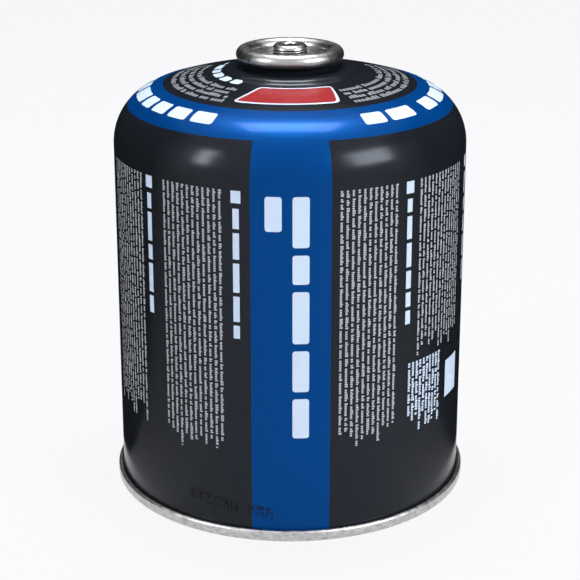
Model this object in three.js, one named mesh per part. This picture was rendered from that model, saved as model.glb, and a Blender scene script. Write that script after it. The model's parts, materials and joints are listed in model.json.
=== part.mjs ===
// A self-sealing fuel canister for camping stoves, in millimetres, +Z up.
// The origin is the middle of the ring that the canister stands on.
// The sealed vessel is one solid, with a pocket only where the valve hangs inside it.
// The base is a stamped end, joined to the vessel by a true double seam of five layers.
// The valve is a sheet-metal cup crimped over the vessel's bead, and its threaded boss
// holds a rubber seal, a sprung stem and the housing that the spring stands in.
import * as THREE from "three";

// Vessel
const bodyRadius = 54;
const bodySheet = 0.45;
const knuckleHeight = 109;
const knuckleRadius = 17.5;
const crownSlope = 17.5;
const crownRadius = 110;
const collarFoot = 22;
const collarEdge = 19;
const collarRise = 1.2;
const neckFillet = 2.2;
const beadRise = 1.5;
const openingRadius = 12.75;
const beadTube = 1.37;
const pocketDepth = 9;
const pocketClearance = 1;

// Base end and double seam
const endSheet = 0.45;
const foldGap = 0.1;
const seamHeight = 3.35;
const standCorner = 0.5;
const chuckFillet = 1.6;
const domeHeight = 12;
const domeRadius = 224;
const coverHookLength = 1.4;
const bodyHookLength = 1.3;
const hookChamfer = 0.2;

// Valve cup
const cupSheet = 0.4;
const gasketThickness = 0.4;
const gasketGap = 0.05;
const curlEdge = 55;
const wallDepth = 1.3;
const clinchHeight = 3.5;
const clinchBulge = 0.7;
const clinchEase = 1.2;
const channelFillet = 1.6;
const bossRadius = 5.4;
const bossHeight = 5.7;
const bossFloorDepth = 4.95;
const bossFillet = 0.9;
const crownCorner = 1.2;
const lipRadius = 0.6;
const lipTurn = 75;
const mouthRadius = 2.4;

// Valve mechanism
const sealThickness = 1.4;
const sealGap = 0.1;
const sealRadius = 4.3;
const runningGap = 0.1;
const stemRadius = 1.9;
const stemRecess = 1;
const stemFlangeRadius = 3.1;
const stemFlangeThickness = 1.1;
const stemGuideRadius = 1.5;
const stemGuideLength = 4.7;
const stemDimpleRadius = 0.9;
const stemDimpleDepth = 0.4;
const housingBore = 3.5;
const housingWall = 0.9;
const housingCollar = 1.1;
const housingDepth = 10.9;
const housingFloor = 1.2;
const tailRadius = 2;
const tailLength = 2;
const inletRadius = 0.9;
const wireRadius = 0.3;
const springRadius = 2.4;
const springTurns = 5;

// How finely the round forms are faceted
const turnedFacets = 36;
const smallFacets = 20;
const wireFacets = 6;
const stepsPerTurn = 12;

const radians = THREE.MathUtils.degToRad;
const at = (radius, height) => new THREE.Vector2(radius, height);

// The crown is one arc from the knuckle to the foot of a low collar round the neck. The
// collar's top is a second arc round the same centre, and a fillet turns it up into the neck.
function crownArc() {
  const start = 90 - crownSlope;
  const back = crownRadius - knuckleRadius;
  const centre = at(
    bodyRadius - knuckleRadius - back * Math.cos(radians(start)),
    knuckleHeight - back * Math.sin(radians(start)),
  );
  const collarRadius = crownRadius + collarRise;
  const reach = collarRadius + neckFillet;
  const across = openingRadius + bodySheet + neckFillet;
  const turn = Math.acos((across - centre.x) / reach);
  const neck = at(across, centre.y + reach * Math.sin(turn));
  const angleAt = (radius, size) => THREE.MathUtils.radToDeg(Math.acos((radius - centre.x) / size));
  const foot = angleAt(collarFoot, crownRadius);
  const edge = angleAt(collarEdge, collarRadius);
  return { start, foot, edge, end: THREE.MathUtils.radToDeg(turn), collarRadius, centre, neck };
}

// Heights and radii that follow from the sizes above
const curlTube = beadTube + gasketGap + gasketThickness + gasketGap + cupSheet;
const beadRadius = openingRadius + beadTube;
const neckRadius = openingRadius + bodySheet;
const beadHeight = crownArc().neck.y + beadRise;
const rimTop = beadHeight + curlTube;
const bossFloor = rimTop - bossFloorDepth;
const bossTop = bossFloor + bossHeight;
const crownUnderside = bossTop - cupSheet;
const bossBore = bossRadius - cupSheet;
const sealTop = crownUnderside - lipRadius + cupSheet / 2 - sealGap;
const sealBottom = sealTop - sealThickness;
const stemTop = bossTop - stemRecess;
const flangeTop = sealBottom - sealGap;
const flangeBottom = flangeTop - stemFlangeThickness;
const housingTop = sealBottom;
const housingInside = housingTop - housingDepth;
const housingBottom = housingInside - housingFloor;
const pocketFloor = housingBottom - tailLength - pocketClearance;

// Points on a round stretch of a profile, from one angle to another, in degrees.
function arc(centre, radius, from, to, steps) {
  const clockwise = to < from;
  const curve = new THREE.EllipseCurve(
    centre.x,
    centre.y,
    radius,
    radius,
    radians(from),
    radians(to),
    clockwise,
  );
  return curve.getPoints(steps);
}

// Points on a smooth stretch whose ends have a given direction.
function bend(start, startControl, endControl, end, steps) {
  return new THREE.CubicBezierCurve(start, startControl, endControl, end).getPoints(steps);
}

// A line without the points that repeat the one before them.
function tidy(line) {
  return line.filter((p, i) => i === 0 || p.distanceTo(line[i - 1]) > 1e-4);
}

// The same line moved sideways, to the left of its direction where distance is positive.
function offset(line, distance) {
  const points = tidy(line);
  const last = points.length - 1;
  return points.map((p, i) => {
    const before = points[Math.max(i, 1)].clone().sub(points[Math.max(i, 1) - 1]).normalize();
    const after = points[Math.min(i, last - 1) + 1].clone().sub(points[Math.min(i, last - 1)]);
    const along = before.clone().add(after.normalize()).normalize();
    const normal = at(-along.y, along.x);
    const spread = distance / before.cross(normal);
    return at(p.x <= 0 ? 0 : p.x + normal.x * spread, p.y + normal.y * spread);
  });
}

// The closed outline of a sheet that follows a line, half its thickness to each side.
function sheet(line, thickness) {
  const right = offset(line, -thickness / 2);
  const left = offset(line, thickness / 2).reverse();
  return [...right, ...left];
}

// A solid of revolution about Z. Its outline runs counter-clockwise, and it closes by itself
// unless it starts and ends on the axis.
function turned(outline, facets) {
  const points = tidy(outline);
  const onAxis = points[0].x < 1e-6 && points[points.length - 1].x < 1e-6;
  const closed = onAxis ? points : [...points, points[0].clone()];
  return new THREE.LatheGeometry(closed, facets).rotateX(Math.PI / 2);
}

// The base end from the middle of its panel to the bottom of its chuck wall. The panel is
// domed into the vessel, against the gas pressure.
function panelLine() {
  const chuckRadius = bodyRadius - bodySheet - foldGap - endSheet / 2;
  const filletCentre = chuckRadius - chuckFillet;
  const domeCentre = at(0, domeHeight - domeRadius);
  const reach = domeRadius - chuckFillet;
  const filletHeight = domeCentre.y + Math.sqrt(reach ** 2 - filletCentre ** 2);
  const turn = THREE.MathUtils.radToDeg(Math.acos(filletCentre / reach));
  return [
    ...arc(domeCentre, domeRadius, 90, turn, 5),
    ...arc(at(filletCentre, filletHeight), chuckFillet, turn, 0, 4),
    at(chuckRadius, endSheet / 2 + standCorner),
  ];
}

// The rest of the base end: the flat ring that it stands on, the seam wall, the fold at the
// top of the seam, and the cover hook that goes down between the vessel and its own hook.
function seamLine() {
  const hookRadius = bodyRadius + foldGap + endSheet / 2;
  const wallRadius = hookRadius + endSheet + bodySheet + 2 * foldGap;
  const chuckRadius = bodyRadius - bodySheet - foldGap - endSheet / 2;
  const foldRadius = (wallRadius - hookRadius) / 2;
  const foldHeight = seamHeight - endSheet / 2 - foldRadius;
  const cornerHeight = endSheet / 2 + standCorner;
  return [
    ...arc(at(chuckRadius + standCorner, cornerHeight), standCorner, 180, 270, 2),
    ...arc(at(wallRadius - standCorner, cornerHeight), standCorner, 270, 360, 2),
    ...arc(at(hookRadius + foldRadius, foldHeight), foldRadius, 0, 180, 4),
    at(hookRadius, foldHeight - coverHookLength + foldRadius),
  ];
}

function baseEnd() {
  return turned(sheet([...panelLine(), ...seamLine()], endSheet), turnedFacets);
}

// The hook at the foot of the vessel, folded outwards and up inside the seam.
function bodyHook() {
  const inner = bodyRadius - bodySheet;
  const flangeBase = endSheet + foldGap;
  const hookInner = bodyRadius + foldGap + endSheet + foldGap;
  const hookOuter = hookInner + bodySheet;
  return [
    at(inner, flangeBase + hookChamfer),
    at(inner + hookChamfer, flangeBase),
    at(hookOuter - hookChamfer, flangeBase),
    at(hookOuter, flangeBase + hookChamfer),
    at(hookOuter, flangeBase + bodySheet + bodyHookLength),
    at(hookInner, flangeBase + bodySheet + bodyHookLength),
    at(hookInner, flangeBase + bodySheet),
    at(bodyRadius, flangeBase + bodySheet),
  ];
}

// The step up from the crown to the collar, which leaves one arc and joins the other evenly.
function collarStep(crown) {
  const low = arc(crown.centre, crownRadius, crown.foot, crown.edge, 2);
  const high = arc(crown.centre, crown.collarRadius, crown.foot, crown.edge, 2);
  return bend(low[0], low[1], high[1], high[2], 4);
}

// The wall, the knuckle at the shoulder, the shallow crown, and the collar up to the neck.
function shoulder() {
  const crown = crownArc();
  return [
    ...arc(at(bodyRadius - knuckleRadius, knuckleHeight), knuckleRadius, 0, crown.start, 9),
    ...arc(crown.centre, crownRadius, crown.start, crown.foot, 3),
    ...collarStep(crown),
    ...arc(crown.centre, crown.collarRadius, crown.edge, crown.end, 1),
    ...arc(crown.neck, neckFillet, crown.end - 180, -180, 3),
  ];
}

// The bead round the opening, from the outside of the neck over the top to the inside.
function bead() {
  const centre = at(beadRadius, beadHeight);
  const start = -THREE.MathUtils.radToDeg(Math.acos((neckRadius - beadRadius) / beadTube));
  return arc(centre, beadTube, start, 180, 10);
}

// The underside of the neck, and the pocket that the valve hangs in.
function pocket() {
  const neck = crownArc().neck;
  const underNeck = arc(neck, neckFillet + bodySheet, 180, 255, 5);
  const edge = underNeck[underNeck.length - 1];
  return [...underNeck, at(edge.x, edge.y - pocketDepth), at(0, pocketFloor)];
}

// The vessel's floor lies on the base end's panel and stops where its own hook turns out.
function canBody() {
  const floor = offset(panelLine(), endSheet / 2 + foldGap).slice(0, -1);
  const outline = [...floor, ...bodyHook(), ...shoulder(), ...bead(), ...pocket()];
  return turned(outline, turnedFacets);
}

// The cup: its curl over the bead, the wall clinched out under the bead, the channel, the
// ramp, and the boss that the stove screws on to.
function cupLine() {
  const curl = at(beadRadius, beadHeight);
  const curlRadius = curlTube - cupSheet / 2;
  const wall = beadRadius - curlRadius;
  const bulge = wall + clinchBulge;
  const bulgeHeight = beadHeight - clinchHeight;
  const easeHeight = bulgeHeight + clinchEase;
  const floorHeight = bossFloor - cupSheet / 2;
  const channel = at(bulge - channelFillet, bulgeHeight);
  const bossLine = bossRadius - cupSheet / 2;
  const filletCentre = at(bossLine + bossFillet, floorHeight + bossFillet);
  const cornerCentre = at(bossLine - crownCorner, bossTop - cupSheet / 2 - crownCorner);
  const lipCentre = at(
    mouthRadius + (lipRadius + cupSheet / 2) * Math.sin(radians(lipTurn)),
    bossTop - cupSheet / 2 - lipRadius,
  );
  const wallEnd = at(wall, beadHeight - wallDepth);
  const bulgeStart = at(bulge, bulgeHeight);
  const rampEnd = at(filletCentre.x, floorHeight);
  const rampStart = at(channel.x, channel.y - channelFillet);
  const pull = (rampStart.x - rampEnd.x) / 2;
  return [
    ...arc(curl, curlRadius, -curlEdge, 180, 11),
    ...bend(wallEnd, at(wall, easeHeight), at(bulge, easeHeight), bulgeStart, 4),
    ...arc(channel, channelFillet, 0, -90, 4),
    ...bend(
      rampStart,
      at(rampStart.x - pull / 2, rampStart.y),
      at(rampEnd.x + pull, rampEnd.y),
      rampEnd,
      4,
    ),
    ...arc(filletCentre, bossFillet, 270, 180, 3),
    ...arc(cornerCentre, crownCorner, 0, 90, 4),
    ...arc(lipCentre, lipRadius, 90, 90 + lipTurn, 3),
  ];
}

function valveCup() {
  return turned(sheet(cupLine(), cupSheet), turnedFacets);
}

// The rubber ring squeezed between the bead and the cup's curl.
function cupGasket() {
  const middle = beadTube + gasketGap + gasketThickness / 2;
  const line = [
    ...arc(at(beadRadius, beadHeight), middle, -curlEdge / 2, 180, 8),
    at(beadRadius - middle, beadHeight - wallDepth),
  ];
  return turned(sheet(line, gasketThickness), turnedFacets);
}

// The rubber washer under the boss's mouth, which the stem slides through.
function stemSeal() {
  const bore = stemRadius + runningGap;
  const outline = [
    at(bore, sealBottom),
    at(sealRadius, sealBottom),
    at(sealRadius, sealTop),
    at(bore, sealTop),
  ];
  return turned(outline, smallFacets);
}

// The stem: a pin that the stove pushes, a flange that seals against the washer, and a
// guide inside the spring.
function valveStem() {
  const guideEnd = flangeBottom - stemGuideLength;
  const outline = [
    at(0, guideEnd),
    at(stemGuideRadius, guideEnd),
    at(stemGuideRadius, flangeBottom),
    at(stemFlangeRadius, flangeBottom),
    at(stemFlangeRadius, flangeTop),
    at(stemRadius, flangeTop),
    at(stemRadius, stemTop),
    at(stemDimpleRadius, stemTop),
    at(0, stemTop - stemDimpleDepth),
  ];
  return turned(outline, smallFacets);
}

// The moulded cup that holds the spring, with a collar under the washer and an inlet below.
function valveHousing() {
  const collar = bossBore - runningGap;
  const outer = housingBore + housingWall;
  const outline = [
    at(inletRadius, housingBottom - tailLength),
    at(tailRadius, housingBottom - tailLength),
    at(tailRadius, housingBottom),
    at(outer, housingBottom),
    at(outer, housingTop - housingCollar),
    at(collar, housingTop - housingCollar),
    at(collar, housingTop - sealGap),
    at(housingBore, housingTop - sealGap),
    at(housingBore, housingInside),
    at(inletRadius, housingInside),
  ];
  return turned(outline, smallFacets);
}

// The spring's wire follows a helix, with its end turns closed up on each other.
class SpringCurve extends THREE.Curve {
  getPoint(t, target = new THREE.Vector3()) {
    const angle = 2 * Math.PI * springTurns * t;
    const low = housingInside + wireRadius + gasketGap;
    const high = flangeBottom - wireRadius - gasketGap;
    const height = low + (high - low) * THREE.MathUtils.smoothstep(t, 0, 1);
    return target.set(springRadius * Math.cos(angle), springRadius * Math.sin(angle), height);
  }
}

function valveSpring() {
  const section = new THREE.Shape(
    arc(at(0, 0), wireRadius, 0, 360, wireFacets).slice(0, wireFacets),
  );
  return new THREE.ExtrudeGeometry(section, {
    extrudePath: new SpringCurve(),
    steps: springTurns * stepsPerTurn,
    bevelEnabled: false,
  });
}

const lacquer = new THREE.MeshStandardMaterial({ color: 0x17191c, roughness: 0.3, metalness: 0 });
const tinplate = new THREE.MeshStandardMaterial({ color: 0xc9c9c8, roughness: 0.35, metalness: 1 });
const plated = new THREE.MeshStandardMaterial({ color: 0xbdbcb8, roughness: 0.2, metalness: 1 });
const rubber = new THREE.MeshStandardMaterial({ color: 0x141414, roughness: 0.8, metalness: 0 });
const nylon = new THREE.MeshStandardMaterial({ color: 0xdedcd2, roughness: 0.5, metalness: 0 });
const wire = new THREE.MeshStandardMaterial({ color: 0xa8a9ab, roughness: 0.3, metalness: 1 });

function piece(name, geometry, material) {
  const mesh = new THREE.Mesh(geometry, material);
  mesh.name = name;
  return mesh;
}

const canister = new THREE.Group();
canister.add(
  piece("can_body", canBody(), lacquer),
  piece("base_end", baseEnd(), tinplate),
  piece("valve_cup", valveCup(), plated),
  piece("cup_gasket", cupGasket(), rubber),
  piece("stem_seal", stemSeal(), rubber),
  piece("valve_stem", valveStem(), plated),
  piece("valve_spring", valveSpring(), wire),
  piece("valve_housing", valveHousing(), nylon),
);

export default canister;
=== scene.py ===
# %% [markdown]
# A gas canister for a camping stove is a can with very little on it: a lacquered steel
# vessel, a bare base end seamed on below, and a threaded steel valve cup crimped on top.
# What the eye reads is the gloss of the lacquer on the round shoulder, the bright edges
# of bare steel, and small print all round the wall.
# The solids come from the shared frame. This lesson makes smooth turned skins for the
# pieces that show, prints them, and lights them as a small studio would.

# %% Start from the frame
import json
import math
import random
import bpy
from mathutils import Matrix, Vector

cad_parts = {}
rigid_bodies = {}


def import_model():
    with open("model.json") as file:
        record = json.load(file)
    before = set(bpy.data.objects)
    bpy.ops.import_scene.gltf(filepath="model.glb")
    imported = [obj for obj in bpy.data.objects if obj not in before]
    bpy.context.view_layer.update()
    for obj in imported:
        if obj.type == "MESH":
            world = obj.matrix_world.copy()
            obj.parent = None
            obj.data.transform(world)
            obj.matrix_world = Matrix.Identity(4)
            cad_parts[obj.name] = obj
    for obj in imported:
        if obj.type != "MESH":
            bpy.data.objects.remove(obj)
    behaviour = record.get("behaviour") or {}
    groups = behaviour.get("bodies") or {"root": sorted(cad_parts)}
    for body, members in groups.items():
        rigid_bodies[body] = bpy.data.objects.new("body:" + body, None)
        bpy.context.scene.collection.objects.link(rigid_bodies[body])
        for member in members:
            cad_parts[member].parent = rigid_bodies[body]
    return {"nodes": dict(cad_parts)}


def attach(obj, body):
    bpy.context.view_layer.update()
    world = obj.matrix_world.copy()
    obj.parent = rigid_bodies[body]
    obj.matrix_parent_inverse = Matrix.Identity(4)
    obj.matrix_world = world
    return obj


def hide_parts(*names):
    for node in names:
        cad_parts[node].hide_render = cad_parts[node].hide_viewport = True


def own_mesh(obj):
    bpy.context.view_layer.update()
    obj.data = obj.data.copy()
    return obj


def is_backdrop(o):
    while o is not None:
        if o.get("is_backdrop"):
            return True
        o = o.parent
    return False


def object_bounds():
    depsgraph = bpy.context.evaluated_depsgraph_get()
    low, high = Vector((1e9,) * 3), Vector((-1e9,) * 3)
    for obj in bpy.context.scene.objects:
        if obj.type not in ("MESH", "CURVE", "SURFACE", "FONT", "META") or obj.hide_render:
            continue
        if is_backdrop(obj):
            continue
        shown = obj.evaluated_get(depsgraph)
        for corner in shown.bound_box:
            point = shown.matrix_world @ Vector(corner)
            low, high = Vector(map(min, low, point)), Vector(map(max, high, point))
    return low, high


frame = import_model()
cad_low, cad_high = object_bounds()
MM = 0.001

# %% [markdown]
# The driving sizes are the real can's, in millimetres, and they are the same ones that the
# solids are built from. Everything else in this file is worked out from them.

# %% Sizes of the vessel and its base end
BODY_RADIUS = 54.0
SHEET = 0.45
KNUCKLE_HEIGHT = 109.0
KNUCKLE_RADIUS = 17.5
CROWN_SLOPE = 17.5
CROWN_RADIUS = 110.0
COLLAR_FOOT = 22.0
COLLAR_EDGE = 19.0
COLLAR_RISE = 1.2
NECK_FILLET = 2.2
BEAD_RISE = 1.5
OPENING_RADIUS = 12.75
BEAD_TUBE = 1.37
NECK_RADIUS = OPENING_RADIUS + SHEET
BEAD_RADIUS = OPENING_RADIUS + BEAD_TUBE
SEAM_HEIGHT = 3.35
FOLD_GAP = 0.1
FOLD_CORNER = 0.2
SEAM_CORNER = 0.5
CHUCK_FILLET = 1.6
PANEL_HEIGHT = 12.0
PANEL_RADIUS = 224.0
COVER_HOOK = 1.4
BODY_HOOK = 1.3
print("seam diameter mm", 2 * (BODY_RADIUS + 3 * SHEET + 3 * FOLD_GAP))

# %% [markdown]
# Every round piece here was spun, drawn or moulded round one axis, so each is a profile
# turned about Z. A profile is a short list of arcs and straight runs, and sheet metal is
# the line down the middle of the sheet, moved half its thickness to each side.
# Turning it in code, and not with a Screw modifier, lets the faces carry their own paint.

# %% Profile helpers
def arc(centre, radius, start, end, steps):
    """Points on a round stretch of a profile, with angles in degrees."""
    turns = [math.radians(start + (end - start) * i / steps) for i in range(steps + 1)]
    return [(centre[0] + radius * math.cos(a), centre[1] + radius * math.sin(a)) for a in turns]


def bend(a, b, c, d, steps):
    """Points on a smooth stretch from a to d, which leaves towards b and arrives from c."""
    points = []
    for i in range(steps + 1):
        t = i / steps
        k = ((1 - t) ** 3, 3 * t * (1 - t) ** 2, 3 * t * t * (1 - t), t ** 3)
        points.append(tuple(sum(w * p[j] for w, p in zip(k, (a, b, c, d))) for j in (0, 1)))
    return points


def tidy(line):
    """The line without points that repeat the one before."""
    return [p for i, p in enumerate(line) if i == 0 or math.dist(p, line[i - 1]) > 1e-4]


def offset(line, distance):
    """The line moved sideways, to its left where distance is positive."""
    points = [Vector(p) for p in tidy(line)]
    moved = []
    for i, p in enumerate(points):
        before = (points[max(i, 1)] - points[max(i, 1) - 1]).normalized()
        j = min(i, len(points) - 2)
        after = (points[j + 1] - points[j]).normalized()
        along = (before + after).normalized()
        normal = Vector((-along.y, along.x))
        spread = distance / (before.x * normal.y - before.y * normal.x)
        moved.append((0.0 if p.x <= 0 else p.x + normal.x * spread, p.y + normal.y * spread))
    return moved


def sheet(line, thickness):
    """The closed outline of a sheet that follows a line."""
    return offset(line, -thickness / 2) + offset(line, thickness / 2)[::-1]


quarter = sheet(arc((0, 0), BODY_RADIUS, 90, 0, 8), SHEET)
print("a quarter bend of sheet has", len(quarter), "points, first mm", round(quarter[0][1], 3))

# %% [markdown]
# The turned mesh is a grid of rings and columns. Points on the axis become one vertex, so
# the mesh is closed there too. The faces are shaded smooth, and edges sharper than 40
# degrees stay crisp, which is what keeps rolled steel from looking like soft plastic.

# %% Turn a profile into a mesh
COLUMNS = 180


def even_angles(count=COLUMNS):
    """Angles spaced evenly round the axis, from the middle of the front."""
    return [2 * math.pi * i / count for i in range(count)]


def make_object(name, vertices, faces, materials, crisp=40):
    """A piece from points in millimetres, smooth but for its sharp edges."""
    mesh = bpy.data.meshes.new(name)
    mesh.from_pydata([Vector(v) * MM for v in vertices], [], faces)
    mesh.validate()
    mesh.update()
    for material in materials:
        mesh.materials.append(material)
    for polygon in mesh.polygons:
        polygon.use_smooth = True
    mesh.set_sharp_from_angle(angle=math.radians(crisp))
    piece = bpy.data.objects.new(name, mesh)
    bpy.context.scene.collection.objects.link(piece)
    return piece


def turned(name, outline, materials, angles=None, paint=None, crisp=40, ripple=None):
    """A solid of revolution. paint gives a face's material from the point at its middle,
    and ripple moves a point of the profile out or in at an angle, as a thread does."""
    angles = angles or even_angles()
    line = tidy(outline)
    if math.dist(line[0], line[-1]) < 1e-4:
        line = line[:-1]
    open_ends = line[0][0] < 1e-6 and line[-1][0] < 1e-6
    vertices, rings = [], []
    for radius, height in line:
        if radius < 1e-6:
            rings.append([len(vertices)] * len(angles))
            vertices.append((0.0, 0.0, height))
            continue
        rings.append(list(range(len(vertices), len(vertices) + len(angles))))
        for angle in angles:
            r = radius + (ripple(radius, height, angle) if ripple else 0.0)
            vertices.append((r * math.sin(angle), -r * math.cos(angle), height))
    faces, slots = [], []
    for i in range(len(line) - (1 if open_ends else 0)):
        low, high = rings[i], rings[(i + 1) % len(line)]
        for j in range(len(angles)):
            k = (j + 1) % len(angles)
            corners = [low[j], low[k], high[k], high[j]]
            face = [c for n, c in enumerate(corners) if c not in corners[:n]]
            if len(face) < 3:
                continue
            faces.append(face)
            middle = [sum(vertices[c][n] for c in face) / len(face) for n in range(3)]
            slots.append(paint(*middle) if paint else 0)
    piece = make_object(name, vertices, faces, materials, crisp)
    piece.data.polygons.foreach_set("material_index", slots)
    print(name, len(faces), "faces, diameter mm", round(piece.dimensions.x / MM, 2))
    return piece


print("flat of a column mm", round(BODY_RADIUS * (1 - math.cos(math.pi / COLUMNS)), 4))

# %% [markdown]
# A colour on a screen is written in sRGB, but the renderer counts light, so one function
# turns the hex values into linear ones. Another adds a node with its settings and links,
# which keeps each finish down to the few lines that say what it is.

# %% Colour and node helpers
def linear(hex_colour):
    """An sRGB hex colour as linear light."""
    parts = [int(hex_colour[i:i + 2], 16) / 255 for i in (1, 3, 5)]
    light = [c / 12.92 if c <= 0.04045 else ((c + 0.055) / 1.055) ** 2.4 for c in parts]
    return (*light, 1.0)


def add(tree, kind, links=(), **settings):
    """A new node. A setting named after a socket fills it, and a link joins into one."""
    node = tree.nodes.new(kind)
    for name, value in settings.items():
        socket = next((s for s in node.inputs if s.name.replace(" ", "_") == name), None)
        if socket is None:
            setattr(node, name, value)
        else:
            socket.default_value = value
    for name, source in dict(links).items():
        tree.links.new(source, node.inputs[name])
    return node


def finish(name, colour, roughness, metallic=0.0, **more):
    """A material with its shader, and the node tree to add detail to."""
    material = bpy.data.materials.new(name)
    material.use_nodes = True
    tree = material.node_tree
    shader = tree.nodes["Principled BSDF"]
    shader.inputs["Base Color"].default_value = linear(colour)
    shader.inputs["Roughness"].default_value = roughness
    shader.inputs["Metallic"].default_value = metallic
    for socket, value in more.items():
        shader.inputs[socket.replace("_", " ")].default_value = value
    return material, tree, shader


def waves_per_metre(size_mm):
    """The scale of a noise whose blobs are about this far apart."""
    return 1.0 / (size_mm * MM)


def grain(tree, size_mm, detail=2.0):
    """Noise over the object's own coordinates, with blobs of a real size."""
    place = add(tree, "ShaderNodeTexCoord")
    return add(tree, "ShaderNodeTexNoise", {"Vector": place.outputs["Object"]},
               Scale=waves_per_metre(size_mm), Detail=detail)


NOISE_LOW = 0.3
NOISE_HIGH = 0.7


def vary(tree, shader, socket, source, low, high):
    """Lets a pattern move a value between two ends."""
    spread = add(tree, "ShaderNodeMapRange", {"Value": source}, To_Min=low, To_Max=high,
                 From_Min=NOISE_LOW, From_Max=NOISE_HIGH)
    tree.links.new(spread.outputs["Result"], shader.inputs[socket])


def bump(tree, shader, source, depth_mm):
    """Lets a pattern stand in for relief of a real depth."""
    lift = add(tree, "ShaderNodeBump", {"Height": source}, Distance=depth_mm * MM)
    tree.links.new(lift.outputs["Normal"], shader.inputs["Normal"])


def math_node(tree, operation, first, second):
    """A sum or the like of two values, where each is an output or a plain number."""
    node = add(tree, "ShaderNodeMath", operation=operation)
    for socket, value in zip(node.inputs, (first, second)):
        if isinstance(value, (int, float)):
            socket.default_value = value
        else:
            tree.links.new(value, socket)
    return node.outputs[0]


def blend(tree, share, shader_off, shader_on, target):
    """Mixes two shaders by a share and links the result to the tree's output node."""
    mixed = add(tree, "ShaderNodeMixShader", {"Fac": share})
    tree.links.new(shader_off, mixed.inputs[1])
    tree.links.new(shader_on, mixed.inputs[2])
    tree.links.new(mixed.outputs["Shader"], tree.nodes[target].inputs["Surface"])


print("middle grey in linear light", round(linear("#808080")[0], 3))

# %% [markdown]
# The can is printed in the round with lacquers, which are then baked. Baked lacquer flows
# almost level, so it mirrors lamps with soft edges, and a faint orange-peel of about two
# millimetres is all that bends them. Black is dense pigment with the deepest gloss, and
# the inks printed over it are a little softer. The blue is partly clear, so some of the
# steel's own shine comes through it, and it glows where it is lit.

# %% Baked lacquers
ORANGE_PEEL_MM = 2.2
ORANGE_PEEL_DEPTH_MM = 0.004
RUBBING_MM = 9.0


def lacquer(name, colour, roughness, level, sheen="#FFFFFF", varnish=0.0, steel=0.0):
    """A baked finish. sheen tints what it mirrors, varnish is a clear coat's share, and
    steel is how much of the bright metal shows through a translucent colour."""
    material, tree, shader = finish(name, colour, roughness, steel, Specular_IOR_Level=level,
                                    Specular_Tint=linear(sheen), Coat_Weight=varnish,
                                    Coat_Roughness=roughness / 3)
    peel = grain(tree, ORANGE_PEEL_MM)
    bump(tree, shader, peel.outputs["Fac"], ORANGE_PEEL_DEPTH_MM)
    rubbing = grain(tree, RUBBING_MM, 4.0)
    vary(tree, shader, "Roughness", rubbing.outputs["Fac"], roughness * 0.85, roughness * 1.2)
    return material


BLACK = lacquer("baked_black_lacquer", "#15181D", 0.2, 0.2, "#E6F0FF")
BLUE = lacquer("baked_blue_lacquer", "#003B79", 0.34, 0.1, "#00A0FF", 0.08, steel=0.36)
WHITE = lacquer("white_printing_ink", "#B9C9DE", 0.25, 0.16)
GREY = lacquer("grey_printing_ink", "#A3A8AF", 0.25, 0.16)
FINE_GREY = lacquer("fine_grey_printing_ink", "#7B7F85", 0.25, 0.16)
RED = lacquer("red_printing_ink", "#87262A", 0.25, 0.16)
CODE = lacquer("black_marking_ink", "#0B0E12", 0.5, 0.1)
print("lacquers and inks", len((BLACK, BLUE, WHITE, GREY, FINE_GREY, RED, CODE)))

# %% [markdown]
# Tinplate is thin steel sheet with a flash of tin, and drawing it leaves fine lines round
# the piece, with dull patches where the tools held it. Pressed bright, it is a mirror that
# has lost its edge. Both are metals here, told apart by how rough and how dulled they are.
# The stem's nickel plate over brass is the brightest and warmest metal, and the spring's
# drawn wire is duller. Moulded rubber is matt and nearly black, and natural nylon is pale,
# with the soft half shine of wax.

# %% Bare metals and the small parts' finishes
SCUFF_MM = 1.6
DRAW_LINE_MM = 0.35
DRAW_LINE_DEPTH_MM = 0.003
DRAW_STRETCH = 0.15
DULL_FROM = 0.38
DULL_TO = 0.55


def bare_steel(name, colour, roughness, scuff, drawn, dulled=None):
    """A bare metal. drawn adds the fine lines round the piece, in height as in shine, and
    dulled is the colour where handling has taken the brightness off."""
    material, tree, shader = finish(name, colour, roughness, metallic=1.0)
    wear = grain(tree, SCUFF_MM, 6.0).outputs["Fac"]
    if drawn:
        place = add(tree, "ShaderNodeTexCoord")
        squeeze = add(tree, "ShaderNodeMapping", {"Vector": place.outputs["Object"]},
                      Scale=(DRAW_STRETCH, DRAW_STRETCH, 1.0))
        lines = add(tree, "ShaderNodeTexNoise", {"Vector": squeeze.outputs["Vector"]},
                    Scale=waves_per_metre(DRAW_LINE_MM), Detail=3.0)
        both = add(tree, "ShaderNodeMix", {"A": wear, "B": lines.outputs["Fac"]}, Factor=0.5)
        wear = both.outputs[0]
        bump(tree, shader, wear, DRAW_LINE_DEPTH_MM)
    if dulled:
        tone = add(tree, "ShaderNodeValToRGB", {"Fac": wear})
        ends = ((DULL_FROM, dulled), (DULL_TO, colour))
        for stop, (position, shade) in zip(tone.color_ramp.elements, ends):
            stop.position, stop.color = position, linear(shade)
        tree.links.new(tone.outputs["Color"], shader.inputs["Base Color"])
    vary(tree, shader, "Roughness", wear, roughness, roughness + scuff)
    return material


TINPLATE = bare_steel("drawn_tinplate", "#C6C6C5", 0.26, 0.2, True, dulled="#A6A6A5")
CUP_STEEL = bare_steel("pressed_bright_tinplate", "#AAAAA9", 0.26, 0.1, False)
# Painted shade: this darker steel in the thread's roots stands for the shadow in the grooves as
# well as a little rolling oil.
THREAD_ROOT_OIL_AND_SHADE = bare_steel("oiled_tinplate", "#3C3B39", 0.4, 0.1, False)
STEM_METAL = bare_steel("nickel_plated_brass", "#D8D2C4", 0.16, 0.1, False)
SPRING_STEEL = bare_steel("drawn_spring_steel", "#9B9C9E", 0.25, 0.15, False)


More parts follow.
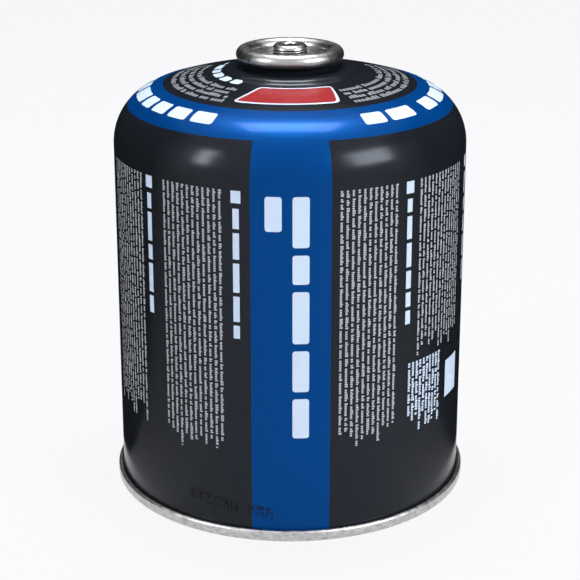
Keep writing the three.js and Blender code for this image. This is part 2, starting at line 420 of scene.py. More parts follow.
def moulded(name, colour, roughness, size_mm, depth_mm):
    """A moulded finish, with the fine skin that the mould left on it."""
    material, tree, shader = finish(name, colour, roughness)
    skin = grain(tree, size_mm, 4.0)
    vary(tree, shader, "Roughness", skin.outputs["Fac"], roughness * 0.85, roughness * 1.1)
    bump(tree, shader, skin.outputs["Fac"], depth_mm)
    return material


RUBBER = moulded("moulded_nitrile_rubber", "#1B1B1B", 0.7, 0.4, 0.01)
NYLON = moulded("moulded_natural_nylon", "#E2DFD2", 0.45, 0.6, 0.006)
print("finishes in all", len(bpy.data.materials))

# %% [markdown]
# The vessel is drawn from one disc of steel: straight wall, a tight knuckle, a shallow
# crown, and a low collar round the neck, which ends in a rolled bead. The blue band lies
# on the knuckle's top and the stripe runs down the front, so rings and columns of the mesh
# are put exactly on the edges of both. Each face is then either black or blue, and the
# edge is as crisp as print.

# %% Profile of the vessel's skin
BAND_LOW_RADIUS = 49.6
BAND_HIGH_RADIUS = 38.7
STRIPE_MIN_RADIUS = BODY_RADIUS * 0.8
STRIPE_LEFT = math.radians(-12.0)
STRIPE_RIGHT = math.radians(12.5)
KNUCKLE_CENTRE = (BODY_RADIUS - KNUCKLE_RADIUS, KNUCKLE_HEIGHT)
CROWN_START = 90 - CROWN_SLOPE
CROWN_CENTRE = tuple(
    c - (CROWN_RADIUS - KNUCKLE_RADIUS) * f(math.radians(CROWN_START))
    for c, f in zip(KNUCKLE_CENTRE, (math.cos, math.sin))
)
COLLAR_RADIUS = CROWN_RADIUS + COLLAR_RISE
NECK_ACROSS = NECK_RADIUS + NECK_FILLET


def crown_turn(radius, size=CROWN_RADIUS):
    """The angle on the crown's arc, or on another about its centre, at this radius."""
    return math.degrees(math.acos((radius - CROWN_CENTRE[0]) / size))


CROWN_END = crown_turn(NECK_ACROSS, COLLAR_RADIUS + NECK_FILLET)
NECK_CENTRE = (
    NECK_ACROSS,
    CROWN_CENTRE[1] + (COLLAR_RADIUS + NECK_FILLET) * math.sin(math.radians(CROWN_END)),
)
BEAD_HEIGHT = NECK_CENTRE[1] + BEAD_RISE
collar_foot, collar_edge = crown_turn(COLLAR_FOOT), crown_turn(COLLAR_EDGE, COLLAR_RADIUS)
step_low = arc(CROWN_CENTRE, CROWN_RADIUS, collar_foot, collar_edge, 2)
step_high = arc(CROWN_CENTRE, COLLAR_RADIUS, collar_foot, collar_edge, 2)
band_turn = math.degrees(math.acos((BAND_LOW_RADIUS - KNUCKLE_CENTRE[0]) / KNUCKLE_RADIUS))
band_end = crown_turn(BAND_HIGH_RADIUS)
skin = (
    arc(KNUCKLE_CENTRE, KNUCKLE_RADIUS, 0, band_turn, 18)
    + arc(KNUCKLE_CENTRE, KNUCKLE_RADIUS, band_turn, CROWN_START, 14)
    + arc(CROWN_CENTRE, CROWN_RADIUS, CROWN_START, band_end, 4)
    + arc(CROWN_CENTRE, CROWN_RADIUS, band_end, collar_foot, 14)
    + bend(step_low[0], step_low[1], step_high[1], step_high[2], 16)
    + arc(CROWN_CENTRE, COLLAR_RADIUS, collar_edge, CROWN_END, 6)
    + arc(NECK_CENTRE, NECK_FILLET, CROWN_END - 180, -180, 10)
)
BAND_LOW = KNUCKLE_CENTRE[1] + KNUCKLE_RADIUS * math.sin(math.radians(band_turn))
print("band from height mm", round(BAND_LOW, 2), "crown ends at degrees", round(CROWN_END, 2))

# %% [markdown]
# The skin is only the outside of the vessel. The rest of its outline is the double seam's
# hook at the foot, the floor against the base end, and the bead and pocket at the top.
# They hardly show, but they close the mesh, and a closed piece casts a true shadow.

# %% Turn the vessel
def panel_line():
    """The base end's middle line from its domed panel down the chuck wall."""
    chuck = BODY_RADIUS - SHEET - FOLD_GAP - SHEET / 2
    across = chuck - CHUCK_FILLET
    reach = PANEL_RADIUS - CHUCK_FILLET
    fillet_height = PANEL_HEIGHT - PANEL_RADIUS + math.sqrt(reach ** 2 - across ** 2)
    turn = math.degrees(math.acos(across / reach))
    return (
        arc((0, PANEL_HEIGHT - PANEL_RADIUS), PANEL_RADIUS, 90, turn, 24)
        + arc((across, fillet_height), CHUCK_FILLET, turn, 0, 8)
        + [(chuck, SHEET / 2 + SEAM_CORNER)]
    )


def body_hook():
    """The vessel's own hook, folded out and up inside the seam."""
    inner, low = BODY_RADIUS - SHEET, SHEET + FOLD_GAP
    hook = BODY_RADIUS + FOLD_GAP + SHEET + FOLD_GAP
    top = low + SHEET + BODY_HOOK
    return [
        (inner, low + FOLD_CORNER), (inner + FOLD_CORNER, low),
        (hook + SHEET - FOLD_CORNER, low), (hook + SHEET, low + FOLD_CORNER),
        (hook + SHEET, top), (hook, top), (hook, low + SHEET), (BODY_RADIUS, low + SHEET),
    ]


def vessel_paint(x, y, height):
    """0 is black and 1 is blue."""
    radius, angle = math.hypot(x, y), math.atan2(x, -y)
    in_band = BAND_HIGH_RADIUS < radius and BAND_LOW < height
    in_stripe = STRIPE_LEFT < angle < STRIPE_RIGHT and height < BAND_LOW
    return 1 if in_band or in_stripe and radius > STRIPE_MIN_RADIUS else 0


POCKET_DEPTH = 9.0
POCKET_RISE = 1.2
bead_start = -math.degrees(math.acos((NECK_RADIUS - BEAD_RADIUS) / BEAD_TUBE))
under_neck = arc(NECK_CENTRE, NECK_FILLET + SHEET, 180, 255, 8)
pocket_radius, pocket_top = under_neck[-1]
pocket_floor = pocket_top - POCKET_DEPTH
pocket = [(pocket_radius, pocket_floor), (0, pocket_floor + POCKET_RISE)]
outline = offset(panel_line(), SHEET / 2 + FOLD_GAP)[:-1] + body_hook() + skin
outline += arc((BEAD_RADIUS, BEAD_HEIGHT), BEAD_TUBE, bead_start, 180, 24) + under_neck + pocket
columns = sorted(set(even_angles() + [STRIPE_LEFT % (2 * math.pi), STRIPE_RIGHT]))
vessel = turned("drawn_vessel", outline, [BLACK, BLUE], columns, vessel_paint)
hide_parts("can_body")
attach(vessel, "can")

# %% [markdown]
# The base end is a stamped disc, and its rim is rolled together with the vessel's foot in
# two folds: a double seam, as on a food can. Outside, only the seam's bare wall shows.
# Modelling the whole section costs little and gives the underside its real depth.

# %% Turn the base end
def seam_line():
    """The ring it stands on, the seam wall, the top fold and the hook inside."""
    hook = BODY_RADIUS + FOLD_GAP + SHEET / 2
    wall = hook + 2 * SHEET + 2 * FOLD_GAP
    chuck = BODY_RADIUS - SHEET - FOLD_GAP - SHEET / 2
    fold = (wall - hook) / 2
    fold_height = SEAM_HEIGHT - SHEET / 2 - fold
    corner = SHEET / 2 + SEAM_CORNER
    return (
        arc((chuck + SEAM_CORNER, corner), SEAM_CORNER, 180, 270, 6)
        + arc((wall - SEAM_CORNER, corner), SEAM_CORNER, 270, 360, 6)
        + arc((hook + fold, fold_height), fold, 0, 180, 12)
        + [(hook, fold_height - COVER_HOOK + fold)]
    )


base = turned("seamed_base_end", sheet(panel_line() + seam_line(), SHEET), [TINPLATE])
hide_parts("base_end")
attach(base, "can")

# %% [markdown]
# The valve cup is pressed from thin bright steel. Its edge is curled over the vessel's
# bead with the gasket between them, its wall is spread out under the bead to lock it, and
# its middle rises as a boss with a mouth in it.

# %% Profile of the valve cup
CUP_SHEET = 0.4
GASKET_THICKNESS = 0.4
GASKET_GAP = 0.05
CURL_TUBE = BEAD_TUBE + GASKET_GAP + GASKET_THICKNESS + GASKET_GAP + CUP_SHEET
CURL_START = -55
WALL_TOP = BEAD_HEIGHT - 1.3
CLINCH_HEIGHT = BEAD_HEIGHT - 3.5
CLINCH_PULL = 1.2
CLINCH_BULGE = 0.7
CHANNEL_FILLET = 1.6
BOSS_RADIUS = 5.4
RIM_TOP = BEAD_HEIGHT + CURL_TUBE
BOSS_FLOOR = RIM_TOP - 4.95
BOSS_TOP = BOSS_FLOOR + 5.7
BOSS_FILLET = 0.9
CROWN_CORNER = 1.2
LIP_RADIUS = 0.6
LIP_TURN = 75
MOUTH_RADIUS = 2.4
THREAD_STEPS = 60


def cup_line():
    """The cup's middle line, from its curl over the bead down and in to the mouth."""
    curl = CURL_TUBE - CUP_SHEET / 2
    wall = BEAD_RADIUS - curl
    bulge = wall + CLINCH_BULGE
    channel = (bulge - CHANNEL_FILLET, CLINCH_HEIGHT)
    ramp_start = (channel[0], CLINCH_HEIGHT - CHANNEL_FILLET)
    boss = BOSS_RADIUS - CUP_SHEET / 2
    floor = BOSS_FLOOR - CUP_SHEET / 2
    ramp_end = (boss + BOSS_FILLET, floor)
    pull = (ramp_start[0] - ramp_end[0]) / 2
    corner = (boss - CROWN_CORNER, BOSS_TOP - CUP_SHEET / 2 - CROWN_CORNER)
    lip = (MOUTH_RADIUS + (LIP_RADIUS + CUP_SHEET / 2) * math.sin(math.radians(LIP_TURN)),
           BOSS_TOP - CUP_SHEET / 2 - LIP_RADIUS)
    foot = floor + BOSS_FILLET
    rise = [(boss, foot + (corner[1] - foot) * i / THREAD_STEPS) for i in range(THREAD_STEPS + 1)]
    return (
        arc((BEAD_RADIUS, BEAD_HEIGHT), curl, CURL_START, 180, 30)
        + bend((wall, WALL_TOP), (wall, CLINCH_HEIGHT + CLINCH_PULL),
               (bulge, CLINCH_HEIGHT + CLINCH_PULL), (bulge, CLINCH_HEIGHT), 8)
        + arc(channel, CHANNEL_FILLET, 0, -90, 8)
        + bend(ramp_start, (ramp_start[0] - pull / 2, ramp_start[1]),
               (ramp_end[0] + pull, floor), ramp_end, 10)
        + arc((ramp_end[0], floor + BOSS_FILLET), BOSS_FILLET, 270, 180, 6)
        + rise
        + arc(corner, CROWN_CORNER, 0, 90, 10)
        + arc(lip, LIP_RADIUS, 90, 90 + LIP_TURN, 8)
    )


print("rim top mm", round(RIM_TOP, 2), "boss top mm", round(BOSS_TOP, 2))

# %% [markdown]
# A rolled thread has round crests, because the metal flows between two dies and is not
# cut, so a sine wave round the boss gives its form. Its roots have a darker finish of their
# own, which is painted shade for the shadow in the grooves as well as a little rolling oil.

# %% Turn the cup with its thread
THREAD_PITCH = 0.907
THREAD_DEPTH = 0.38
THREAD_FADE = 0.25
THREAD_LOW = BOSS_FLOOR + BOSS_FILLET
THREAD_HIGH = BOSS_TOP - CROWN_CORNER
FIRST_ROOT = 0.2
ROOT_DARK = 0.55
NEAR = 0.05


def thread_wave(height, angle):
    """1 at the bottom of a root of the thread, and -1 on a crest."""
    turn = (THREAD_HIGH - height - FIRST_ROOT) / THREAD_PITCH + angle / (2 * math.pi)
    return math.cos(2 * math.pi * turn)


def thread(radius, height, angle):
    """How far the rolled thread moves the boss's outer wall in."""
    if abs(radius - BOSS_RADIUS) > NEAR or not THREAD_LOW < height < THREAD_HIGH:
        return 0.0
    fade = min(1.0, (height - THREAD_LOW) / THREAD_FADE, (THREAD_HIGH - height) / THREAD_FADE)
    return -fade * THREAD_DEPTH * (1 + thread_wave(height, angle)) / 2


def root_paint(x, y, height):
    """1 in the roots, which take the darker finish of rolling oil and painted shade, and 0
    elsewhere.
    """
    on_boss = math.hypot(x, y) < BOSS_RADIUS + NEAR and THREAD_LOW < height < THREAD_HIGH
    return 1 if on_boss and thread_wave(height, math.atan2(x, -y)) > ROOT_DARK else 0


cup = turned("threaded_valve_cup", sheet(cup_line(), CUP_SHEET), [CUP_STEEL, THREAD_ROOT_OIL_AND_SHADE],
             paint=root_paint, ripple=thread)
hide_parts("valve_cup")
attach(cup, "can")

# %% [markdown]
# In the boss's mouth sit a rubber washer and the plated stem that the stove pushes down.
# They are tiny, but the stem is bright against dark, so both are turned smooth here. The
# gasket, the spring and the housing stay the frame's own solids, with a finish added.

# %% The valve's inner parts
VALVE_GAP = 0.1
SEAL_TOP = BOSS_TOP - CUP_SHEET - LIP_RADIUS + CUP_SHEET / 2 - VALVE_GAP
SEAL_BOTTOM = SEAL_TOP - 1.4
SEAL_RADIUS = 4.3
SEAL_HOLE = 2.0
STEM_TOP = BOSS_TOP - 1.0
STEM_RADIUS = 1.9
STEM_CHAMFER = 0.2
DIMPLE_RADIUS = 0.9
DIMPLE_FLOOR = 0.5
DIMPLE_DEPTH = 0.3
DIMPLE_POINT = 0.4
FLANGE_TOP = SEAL_BOTTOM - VALVE_GAP
FLANGE_BOTTOM = FLANGE_TOP - 1.1
FLANGE_RADIUS = 3.1
TAIL_RADIUS = 1.5
TAIL_BOTTOM = FLANGE_BOTTOM - 4.7
VALVE_COLUMNS = 72
valve_angles = even_angles(VALVE_COLUMNS)
washer = turned("stem_washer", [
    (SEAL_HOLE, SEAL_BOTTOM), (SEAL_RADIUS, SEAL_BOTTOM),
    (SEAL_RADIUS, SEAL_TOP), (SEAL_HOLE, SEAL_TOP), (SEAL_HOLE, SEAL_BOTTOM),
], [RUBBER], valve_angles)
stem = turned("stem_pin", [
    (0, TAIL_BOTTOM), (TAIL_RADIUS, TAIL_BOTTOM), (TAIL_RADIUS, FLANGE_BOTTOM),
    (FLANGE_RADIUS, FLANGE_BOTTOM), (FLANGE_RADIUS, FLANGE_TOP), (STEM_RADIUS, FLANGE_TOP),
    (STEM_RADIUS, STEM_TOP - STEM_CHAMFER), (STEM_RADIUS - STEM_CHAMFER, STEM_TOP),
    (DIMPLE_RADIUS, STEM_TOP), (DIMPLE_FLOOR, STEM_TOP - DIMPLE_DEPTH),
    (0, STEM_TOP - DIMPLE_POINT),
], [STEM_METAL], valve_angles)
for piece, node, body, slot in (
    (washer, "stem_seal", "can", "rubber"),
    (stem, "valve_stem", "stem", "stem_metal"),
):
    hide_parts(node)
    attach(piece, body)
for node, material in (
    ("cup_gasket", RUBBER),
    ("valve_housing", NYLON),
    ("valve_spring", SPRING_STEEL),
):
    solid = frame["nodes"][node]
    for holder in [solid] + list(solid.children):
        if holder.type == "MESH":
            holder.data.materials.clear()
            holder.data.materials.append(material)

# %% [markdown]
# The print is ink a few hundredths of a millimetre thick, so it can be laid on the skin as
# thin patches of its own. A patch is placed by its angle round the can and its height on
# the wall, or its angle and its radius on the crown, and it follows the skin's curve.

# %% Lay patches of ink on the skin
INK = 0.03


def on_wall(angle, height, lift):
    """A point above the wall at this angle and height."""
    a, r = math.radians(angle), BODY_RADIUS + lift
    return (r * math.sin(a), -r * math.cos(a), height)


def on_crown(angle, radius, lift):
    """A point above the skin at this radius, between the two rings of the mesh there."""
    a = math.radians(angle)
    low, high = next(pair for pair in zip(rising, rising[1:]) if pair[1][0] <= radius)
    share = (low[0] - radius) / (low[0] - high[0])
    height = low[1] + (high[1] - low[1]) * share + lift
    return (radius * math.sin(a), -radius * math.cos(a), height)


rising = tidy(skin)


class Ink:
    """Collects the patches of one colour, and makes one thin piece of them."""

    def __init__(self, name, material, layer=1):
        self.name, self.material, self.lift = name, material, layer * INK
        self.vertices, self.faces = [], []

    def patch(self, place, low, high, cuts=(1, 1)):
        """A patch from one corner to the other, in the surface's own two directions."""
        start = len(self.vertices)
        for i in range(cuts[0] + 1):
            u = low[0] + (high[0] - low[0]) * i / cuts[0]
            for j in range(cuts[1] + 1):
                v = low[1] + (high[1] - low[1]) * j / cuts[1]
                self.vertices.append(place(u, v, self.lift))
        for i in range(cuts[0]):
            for j in range(cuts[1]):
                a = start + i * (cuts[1] + 1) + j
                self.faces.append((a, a + cuts[1] + 1, a + cuts[1] + 2, a + 1))

    def field(self, place, edge, rings=10):
        """A field inside a closed edge, filled by smaller and smaller copies of the edge."""
        middle = [sum(p[n] for p in edge) / len(edge) for n in (0, 1)]
        start = len(self.vertices)
        for ring in range(rings):
            share = 1 - ring / rings
            for u, v in edge:
                point = (middle[0] + (u - middle[0]) * share, middle[1] + (v - middle[1]) * share)
                self.vertices.append(place(*point, self.lift))
        self.vertices.append(place(*middle, self.lift))
        count = len(edge)
        for ring in range(rings):
            for i in range(count):
                a, b = start + ring * count + i, start + ring * count + (i + 1) % count
                if ring < rings - 1:
                    self.faces.append((a, b, b + count, a + count))
                else:
                    self.faces.append((a, b, start + rings * count))

    def faces_out(self, face):
        """Whether a face turns its front away from the inside of the can."""
        a, b, c = (Vector(self.vertices[n]) for n in face[:3])
        return (b - a).cross(c - b).dot(a - Vector((0, 0, BODY_RADIUS))) > 0

    def lay(self):
        """Makes the piece, which rides on the can."""
        faces = [face if self.faces_out(face) else face[::-1] for face in self.faces]
        piece = make_object(self.name, self.vertices, faces, [self.material])
        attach(piece, "can")
        print(self.name, len(self.faces), "faces")


print("ink stands off the skin by mm", INK)

# %% [markdown]
# Lines of words are drawn as short blocks, the size and rhythm of type but no letters. The
# blocks stand in groups, as letters do in words, and about a third of them are tall. Where
# type is too large for that, a word is one plain bar.

# %% Rhythm of the type
LETTERS = (2, 9)
LETTER_STEP = (0.5, 0.8)
LETTER_INKED = 0.78
TALL_SHARE = 0.3
WORD_GAP = 0.55
TALL_HEIGHT = 0.95
LOW_HEIGHT = 0.68


def words(rng, length, size):
    """Where each letter's block starts in a line of type, its length and its height."""
    place = 0.0
    while place < length:
        for _ in range(rng.randint(*LETTERS)):
            step = size * rng.uniform(*LETTER_STEP)
            if place + step > length:
                return
            tall = rng.random() < TALL_SHARE
            yield place, step * LETTER_INKED, size * (TALL_HEIGHT if tall else LOW_HEIGHT)
            place += step
        place += size * WORD_GAP


def bars(rng, length, shortest, longest, gap):
    """Where each plain bar of a greeked line starts, and how long it is."""
    place = 0.0
    while place + shortest <= length:
        run = min(rng.uniform(shortest, longest), length - place)
        yield place, run
        place += run + gap


rng = random.Random(4)
print("letters average", sum(LETTERS) / 2, "to a word")

# %% [markdown]
# The type on the wall runs down the can in columns, and the columns stand in blocks that
# end raggedly near the foot. Bold headings with a small white field run between them.
# Layout is given in degrees from the middle of the front, as it was read off the photo.

# %% Print the wall
TYPE_TOP = 107.0
LINE_PITCH = 1.75
TYPE_SIZE = 0.95
RAGGED = 3.5
HEADING_SIZE = 2.9
HEADING_FIELD = 3.6
HEADING_START = 5.2
HEADING_MARGIN = 0.5
MM_TO_DEGREES = 180 / (math.pi * BODY_RADIUS)
small_print = Ink("small_print", GREY)
white_print = Ink("white_print", WHITE)


def type_block(left, right, bottom, top=TYPE_TOP, ink=small_print,
               size=TYPE_SIZE, pitch=LINE_PITCH):
    """Columns of small type from one angle to another, down to a ragged lower edge."""
    angle = left
    while angle + size * MM_TO_DEGREES < right:
        length = top - bottom + rng.uniform(-RAGGED, RAGGED)
        for start, run, width in words(rng, length, size):
            right_edge = angle + width * MM_TO_DEGREES
            ink.patch(on_wall, (angle, top - start - run), (right_edge, top - start))
        angle += pitch * MM_TO_DEGREES


def heading(left, bottom, top=TYPE_TOP):
    """A white field, and a column of bold bars below it."""
    right = left + HEADING_SIZE * MM_TO_DEGREES
    white_print.patch(on_wall, (left, top - HEADING_FIELD), (right, top), (2, 1))
    margin = HEADING_MARGIN * MM_TO_DEGREES
    for start, run in bars(rng, top - bottom - HEADING_START, 3.5, 9.0, 1.2):
        high = top - HEADING_START - start
        white_print.patch(on_wall, (left + margin, high - run), (right - margin, high), (2, 1))


BACK_BLOCKS = range(76, 245, 28)
BACK_TYPE_FROM = 5
BACK_TYPE_TO = 27
type_block(15.2, 36.2, 31)
heading(37.9, 59)
type_block(43.9, 70, 54)
type_block(40.2, 58, 31, top=51, ink=white_print, size=1.2, pitch=1.6)
white_print.patch(on_wall, (61, 34), (71, 46), (6, 1))
type_block(-42.3, -19.2, 29)
heading(-17.9, 59)
heading(-50.4, 64)
type_block(-74, -51.3, 31)
for left in BACK_BLOCKS:
    heading(left, 60 + rng.uniform(-8, 8))
    type_block(left + BACK_TYPE_FROM, left + BACK_TYPE_TO, 31 + rng.uniform(-4, 8))
print("blocks of type", len(small_print.faces))

# %% [markdown]
# Down the stripe stand two lines of large print, and round the band run two long ones.
# A large word is drawn as plain bars with round corners, about as heavy as bold type.

# %% Print the stripe and the band
STRIPE_BAR_TOP = 105.8
STRIPE_BAR_WIDTH = 4.8
STRIPE_BAR_GAP = 2.2
BAND_BAR_INNER = 42.4
BAND_BAR_OUTER = 46.6
BAR_CORNER = 0.9
EDGE_STEP = 0.7
CORNER_STEPS = 4


def rounded(corners, reach):
    """A closed edge through four corners in millimetres, each rounded off over a reach."""
    edge = []
    for i, corner in enumerate(corners):
        here, before = Vector(corner), Vector(corners[i - 1])
        after = Vector(corners[(i + 1) % len(corners)])
        start = here + (before - here).normalized() * reach
        end = here + (after - here).normalized() * reach
        for n in range(CORNER_STEPS + 1):
            t = n / CORNER_STEPS
            edge.append(start * (1 - t) ** 2 + here * 2 * t * (1 - t) + end * t * t)
        onward = after + (here - after).normalized() * reach
        cuts = int((onward - end).length / EDGE_STEP)
        edge += [end.lerp(onward, n / cuts) for n in range(1, cuts)]
    return edge


def bar_down(middle, top, length):
    """A bar down the stripe, round the middle line at this angle."""
    half = STRIPE_BAR_WIDTH / 2
    corners = [(-half, top), (-half, top - length), (half, top - length), (half, top)]
    edge = [(middle + p.x * MM_TO_DEGREES, p.y) for p in rounded(corners, BAR_CORNER)]
    white_print.field(on_wall, edge, 3)


def bar_round(start, end, inner, outer):
    """A bar round the crown from one angle to another, between two radii."""
    degree = math.radians(1) * (inner + outer) / 2
    corners = [(start * degree, inner), (start * degree, outer),
               (end * degree, outer), (end * degree, inner)]
    edge = [(p.x / degree, p.y) for p in rounded(corners, BAR_CORNER)]
    white_print.field(on_crown, edge, 6)


def row_round(start, end, inner, outer, shortest, longest, gap):
    """A row of such bars between two angles, in words of uneven length."""
    degrees = math.degrees(2 / (inner + outer))
    for place, run in bars(rng, (end - start) / degrees, shortest, longest, gap):
        bar_round(start + place * degrees, start + (place + run) * degrees, inner, outer)


for start, run in bars(rng, 73, 8, 17, STRIPE_BAR_GAP):
    bar_down(3.3, STRIPE_BAR_TOP - start, run)
for start, run in bars(rng, 19.5, 8, 11, STRIPE_BAR_GAP):
    bar_down(-5.0, STRIPE_BAR_TOP - start, run)
for start, end in ((27.5, 54), (60, 146), (-112, -26), (-148, -118)):
    row_round(start, end, BAND_BAR_INNER, BAND_BAR_OUTER, 6, 12, 1.8)
print("faces in white print", len(white_print.faces))

# %% [markdown]
# On the crown the small type runs in rings, left and right, and one row of bold bars runs
# inside them at the left. The rings leave the front free for the label.

# %% Print the crown
RING_OUTER = 36.1
RING_PITCH = 2.65
RING_TYPE_SIZE = 1.95
ring_print = Ink("ring_print", FINE_GREY)


def type_ring(start, end, radius):
    """A line of type round the crown at a radius, from one angle to another."""
    degrees = 180 / (math.pi * radius)
    for place, run, height in words(rng, (end - start) / degrees, RING_TYPE_SIZE):
        low = start + place * degrees
        ring_print.patch(on_crown, (low, radius), (low + run * degrees, radius - height))


for ring in range(4):
    outer = RING_OUTER - RING_PITCH * ring
    type_ring(31.5, 122 + rng.uniform(-6, 6), outer)
    type_ring(-122 + rng.uniform(-6, 6), -32, outer)
row_round(-130, -34, 20.9, 23.6, 3.5, 8, 1.3)
print("faces in the rings of type", len(ring_print.faces))

# %% [markdown]
# A red label with a white border lies at the front of the crown. It is an annular sector,
# because the print is laid out round the can's axis, and it holds no word here.

# %% Print the label
LABEL_LEFT_INNER = -11.2
LABEL_LEFT_OUTER = -14.5
LABEL_RIGHT_INNER = 15.5
LABEL_RIGHT_OUTER = 12.4
LABEL_OUTER = 35.0
LABEL_INNER = 23.2
LABEL_BORDER = 0.75
LABEL_CORNER = 1.8
LABEL_MIDDLE = (LABEL_OUTER + LABEL_INNER) / 2


def label_edge(inset):
    """The label's outline, or one inside it, as pairs of angle and radius."""
    inner, outer = LABEL_INNER + inset, LABEL_OUTER - inset
    corners = [(LABEL_LEFT_INNER + inset, inner), (LABEL_LEFT_OUTER + inset, outer),
               (LABEL_RIGHT_OUTER - inset, outer), (LABEL_RIGHT_INNER - inset, inner)]
    edge = rounded(corners, LABEL_CORNER - inset)
    return [(math.degrees(p.x / LABEL_MIDDLE), p.y) for p in edge]


white_print.field(on_crown, label_edge(0))
red_label = Ink("red_label", RED, layer=2)
red_label.field(on_crown, label_edge(LABEL_BORDER))
print("label mm", round(LABEL_RIGHT_OUTER - LABEL_LEFT_OUTER, 1), "by", LABEL_OUTER - LABEL_INNER)

# %% [markdown]
# Low on the wall an ink-jet printer left a batch mark: rows of tiny black dots that are
# barely darker than the lacquer. Random dots in the printer's five by seven cells give it.

# %% Print the batch mark and lay all the ink
DOT = 0.42
DOT_PITCH = DOT * 1.25
DOT_DEGREES = 0.48
CELL_COLUMNS = 5
CELL_ROWS = 7
CELLS = 10
BLANK_CELL = 6
MARK_LEFT = -33.5
MARK_TOP = 13.4
MARK_SLANT = 0.12
batch_mark = Ink("batch_mark", CODE)
for cell in range(CELLS):
    if cell == BLANK_CELL:
        continue
    for column in range(CELL_COLUMNS):
        for row in range(CELL_ROWS):
            if rng.random() < 0.5:
                across = (cell * (CELL_COLUMNS + 1) + column) * DOT_DEGREES
                angle = MARK_LEFT + across
                height = MARK_TOP - across * MARK_SLANT - row * DOT_PITCH
                low, high = (angle, height - DOT), (angle + DOT * MM_TO_DEGREES, height)
                batch_mark.patch(on_wall, low, high)
for ink in (small_print, ring_print, white_print, red_label, batch_mark):
    ink.lay()

# %% [markdown]
# A pack shot stands on seamless white. The floor and the world are given their pale colour
# directly for the camera and for mirror rays, so no lamp has to burn the floor to white.
# A share of the floor's real shading stays in, and it carries the soft shadow.

# %% Floor and world
PAPER = "#F9F9FB"
PAPER_SHARE = 0.94
PAPER_UNDER_LAMPS = "#D2D2D4"
PAPER_REACH = 6000
WORLD_LIGHT = 0.2


def seen_by_eye_or_mirror(tree):
    """1 for rays from the camera, a mirror or a clear thing, and 0 for rays of plain light."""
    ray = add(tree, "ShaderNodeLightPath").outputs
    seen = math_node(tree, "MAXIMUM", ray["Is Camera Ray"], ray["Is Glossy Ray"])
    return math_node(tree, "MAXIMUM", seen, ray["Is Transmission Ray"])


paper, tree, shader = finish("seamless_paper", PAPER_UNDER_LAMPS, 0.9)
flat = add(tree, "ShaderNodeEmission", Color=linear(PAPER), Strength=1.0)
share = math_node(tree, "MULTIPLY", seen_by_eye_or_mirror(tree), PAPER_SHARE)
blend(tree, share, shader.outputs["BSDF"], flat.outputs["Emission"], "Material Output")
signs = ((-1, -1), (1, -1), (1, 1), (-1, 1))
corners = [(x * PAPER_REACH, y * PAPER_REACH, 0) for x, y in signs]
make_object("paper_floor", corners, [(0, 1, 2, 3)], [paper])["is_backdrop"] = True

world = bpy.data.worlds.new("studio_world")
bpy.context.scene.world = world
world.use_nodes = True
tree = world.node_tree
room = tree.nodes["Background"]
room.inputs["Color"].default_value = linear("#FFFFFF")
room.inputs["Strength"].default_value = WORLD_LIGHT
backdrop = add(tree, "ShaderNodeBackground", Color=linear(PAPER), Strength=1.0)
blend(tree, seen_by_eye_or_mirror(tree), room.outputs["Background"],
      backdrop.outputs["Background"], "World Output")
print("world light", WORLD_LIGHT, "paper's own colour share", PAPER_SHARE)

# %% [markdown]
# Gloss is lit by what it mirrors. A box straight above makes the bright band on the blue
# knuckle, a narrow upright box at the left makes the crisp glint on the left shoulder, and
# a wide dim one at the right makes the broad soft glow. Each is placed by the direction
# that the skin mirrors there, and each is an area lamp, so its edge on the gloss is soft.

# %% Lamps
LAMP_TARGET = Vector((0, 0, 115)) * MM


def softbox(name, azimuth, elevation, distance, width, height, watts):
    """A lamp that faces the shoulder. Azimuth 0 is in front and 90 is at the right."""
    a, e = math.radians(azimuth), math.radians(elevation)
    out = Vector((math.sin(a) * math.cos(e), -math.cos(a) * math.cos(e), math.sin(e)))
    place = LAMP_TARGET + distance * out
    lamp = bpy.data.lights.new(name, "AREA")
    lamp.shape, lamp.size, lamp.size_y, lamp.energy = "RECTANGLE", width, height, watts
    holder = bpy.data.objects.new(name, lamp)
    bpy.context.scene.collection.objects.link(holder)
    holder.location = place
    holder.rotation_euler = (LAMP_TARGET - place).to_track_quat("-Z", "Y").to_euler()
    print(name, "radiance", round(watts / (math.pi * width * height), 2))


softbox("overhead_box", 180, 81, 1.1, 0.62, 0.42, 19)
softbox("left_strip_box", -57, 22, 1.0, 0.12, 0.42, 4.2)
softbox("right_wide_box", 54, 24, 1.1, 0.5, 0.42, 10.5)

# %% [markdown]
# A glossy black thing in a white room goes grey, above all where it is seen at a slant.
# So photographers stand black flags round it, just out of the picture. Here one curved
# flag stands behind and beside the can and another lies round its foot. They are seen
# only by mirror rays, so they darken the gloss and take no light from the paper. Towards
# the front they fade into the paper's colour, so their ends draw no line on the wall.

# %% Black flags
FLAG_NEAR = 62.0
FLAG_FAR = 900.0
FLAG_TOP = 1000.0
FLAG_LIFT = 1.0
FLAG_STEPS = 42
FLAG_PALE_TO = 52
FLAG_DARK_FROM = 98
UPRIGHT_FROM = 75
RADIAL_FRONT = 0.25


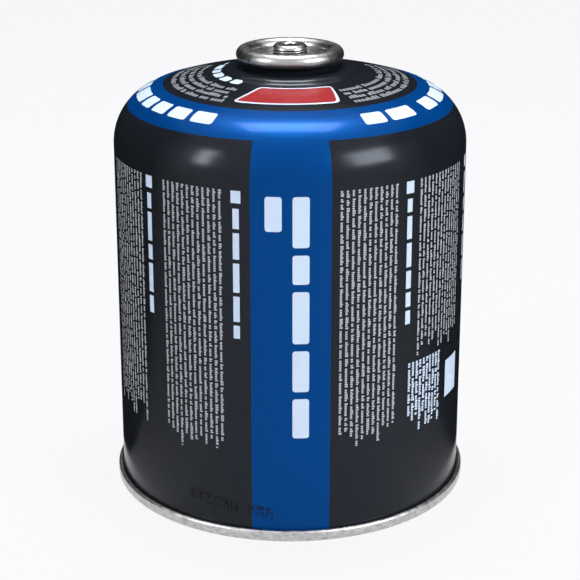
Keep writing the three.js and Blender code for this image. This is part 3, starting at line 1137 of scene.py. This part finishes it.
def flag(name, rings, start):
    """A card swept round the back of the can between two rings of radius and height. It
    starts and ends at this angle from the front."""
    vertices = []
    for radius, height in rings:
        for i in range(FLAG_STEPS + 1):
            a = math.radians(start + (360 - 2 * start) * i / FLAG_STEPS)
            vertices.append((radius * math.sin(a), -radius * math.cos(a), height))
    row = FLAG_STEPS + 1
    faces = [(i, i + 1, i + row + 1, i + row) for i in range(FLAG_STEPS)]
    piece = make_object(name, vertices, faces, [black_card])
    piece.visible_camera = piece.visible_diffuse = piece.visible_shadow = False
    piece.visible_transmission = False
    piece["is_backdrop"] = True


black_card, tree, shader = finish("black_card", "#101112", 0.9, Specular_IOR_Level=0.0)
place = add(tree, "ShaderNodeTexCoord").outputs["Object"]
sweep = add(tree, "ShaderNodeTexGradient", {"Vector": place}, gradient_type="RADIAL")
off_front = math_node(tree, "SUBTRACT", sweep.outputs["Fac"], RADIAL_FRONT)
fade = add(tree, "ShaderNodeMapRange", {"Value": math_node(tree, "ABSOLUTE", off_front, 0.0)},
           From_Min=FLAG_PALE_TO / 360, From_Max=FLAG_DARK_FROM / 360)
pale = add(tree, "ShaderNodeEmission", Color=linear(PAPER), Strength=1.0)
blend(tree, fade.outputs["Result"], pale.outputs["Emission"], shader.outputs["BSDF"],
      "Material Output")
flag("floor_flag", [(FLAG_NEAR, FLAG_LIFT), (FLAG_FAR, FLAG_LIFT)], FLAG_PALE_TO)
flag("upright_flag", [(FLAG_FAR, FLAG_LIFT), (FLAG_FAR, FLAG_TOP)], UPRIGHT_FROM)
print("flags fade between degrees", FLAG_PALE_TO, "and", FLAG_DARK_FROM)

# %% [markdown]
# The picture was taken from a little above, from under half a metre away, and the lens was
# shifted so that the wall stays nearly upright. A small shift keeps most of that, and the
# can's own perspective gives the rest.

# %% Camera
CAMERA_BACK = 495.7
CAMERA_HEIGHT = 234.1
CAMERA_PITCH = 17.8
FOCAL_PIXELS = 1658.0
FRAME_PIXELS = 580
LENS_SHIFT = -0.08
SENSOR = 36.0
lens = bpy.data.cameras.new("pack_shot")
lens.sensor_width = SENSOR
lens.lens = FOCAL_PIXELS / FRAME_PIXELS * SENSOR
lens.shift_y = LENS_SHIFT
camera = bpy.data.objects.new("pack_shot", lens)
bpy.context.scene.collection.objects.link(camera)
camera.location = Vector((0, -CAMERA_BACK, CAMERA_HEIGHT)) * MM
camera.rotation_euler = (math.radians(90 - CAMERA_PITCH), 0, 0)
bpy.context.scene.camera = camera
bpy.context.scene.view_settings.view_transform = "Standard"
print("lens mm", round(lens.lens, 1))

# %% [markdown]
# Last, the spring gets a mesh of its own, and the box of the solids and the box of the
# dressed canister are worked out.

# %% Finish
spring = frame["nodes"]["valve_spring"]
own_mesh(spring)
low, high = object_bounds()
{"cad": [list(cad_low), list(cad_high)], "visual": [list(low), list(high)]}
print("visual box mm", [round(v / MM, 2) for v in (*low, *high)])
